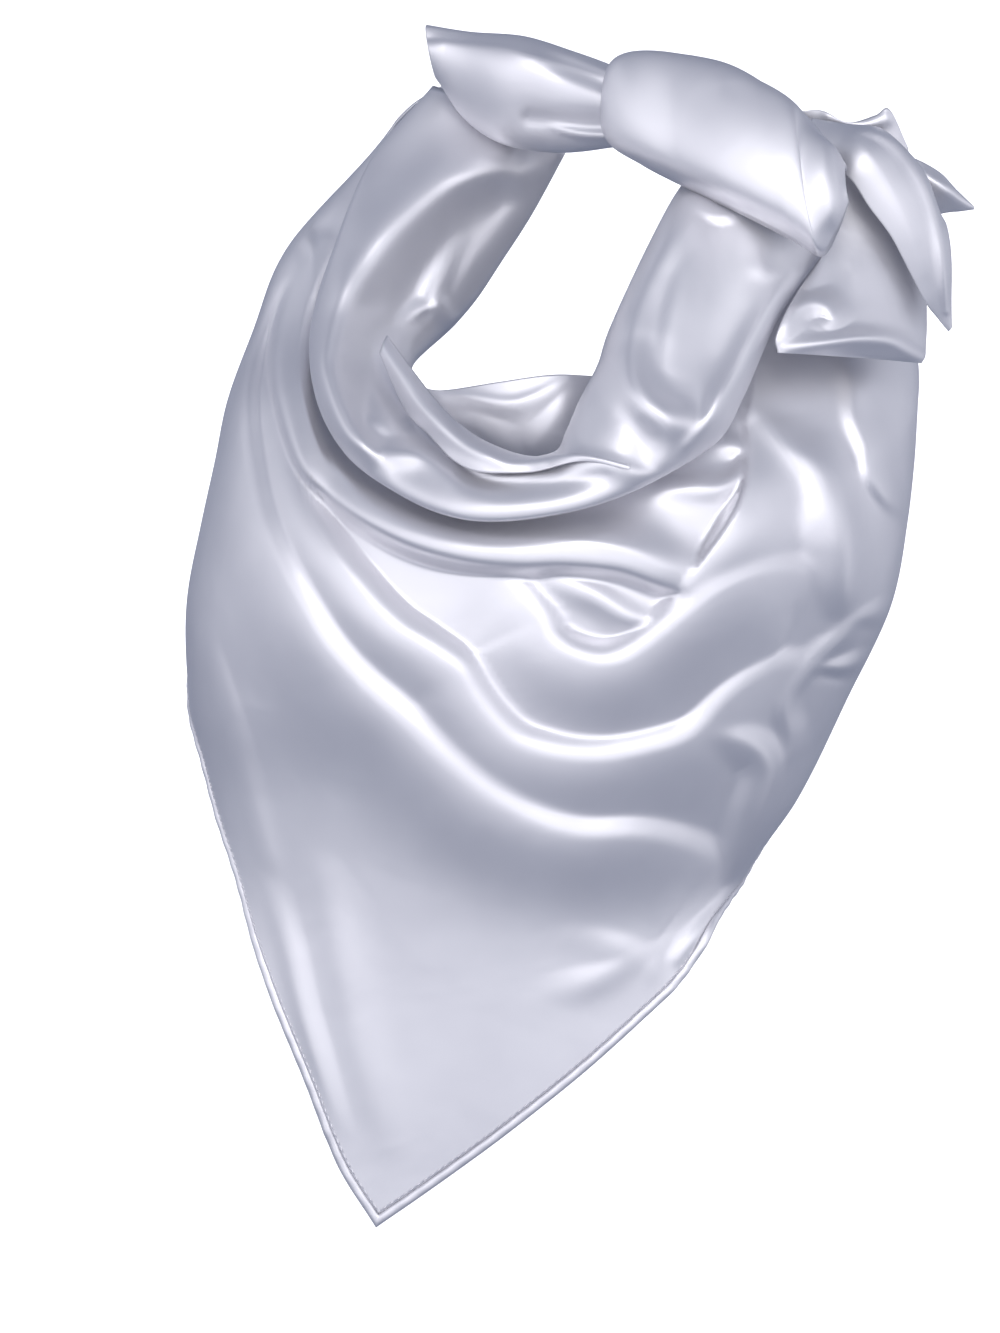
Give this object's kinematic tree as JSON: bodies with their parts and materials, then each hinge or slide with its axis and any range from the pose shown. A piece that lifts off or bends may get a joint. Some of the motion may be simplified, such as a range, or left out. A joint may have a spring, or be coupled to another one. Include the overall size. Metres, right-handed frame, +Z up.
{
  "type": "neckerchief",
  "caption": "Satin neckerchief folded on its diagonal, worn round a neck and knotted at the side, with its point hanging in front.",
  "frame": {"origin": "middle of the neck opening, on the axis of the neck it is worn round", "axes": "+Z up as worn; -Y towards the side the folds are drawn from, which is three-quarter front, about 30 degrees from the wearer's own front; +X towards the knot"},
  "size_m": [0.392, 0.2719, 0.5707],
  "materials": {
    "drape": "smooth pale lilac-silver satin",
    "hem": "pale lilac-silver satin, rolled and stitched edge",
    "collar": "smooth pale lilac-silver satin",
    "lip_fold": "smooth pale lilac-silver satin",
    "inner_fold": "smooth pale lilac-silver satin",
    "nape_strand": "smooth pale lilac-silver satin",
    "knot_wrap": "smooth pale lilac-silver satin",
    "knot_back": "smooth pale lilac-silver satin",
    "tail_over": "smooth pale lilac-silver satin",
    "tail_under": "smooth pale lilac-silver satin",
    "tail_back": "smooth pale lilac-silver satin",
    "peak_flap": "smooth pale lilac-silver satin",
    "knot_corner": "smooth pale lilac-silver satin"
  },
  "bodies": {
    "root": {"drape": "drape", "hem": "hem", "collar": "collar", "lip_fold": "lip_fold", "inner_fold": "inner_fold", "nape_strand": "nape_strand", "knot_wrap": "knot_wrap", "knot_back": "knot_back", "tail_over": "tail_over", "tail_under": "tail_under", "tail_back": "tail_back", "peak_flap": "peak_flap", "knot_corner": "knot_corner"}
  },
  "joints": []
}
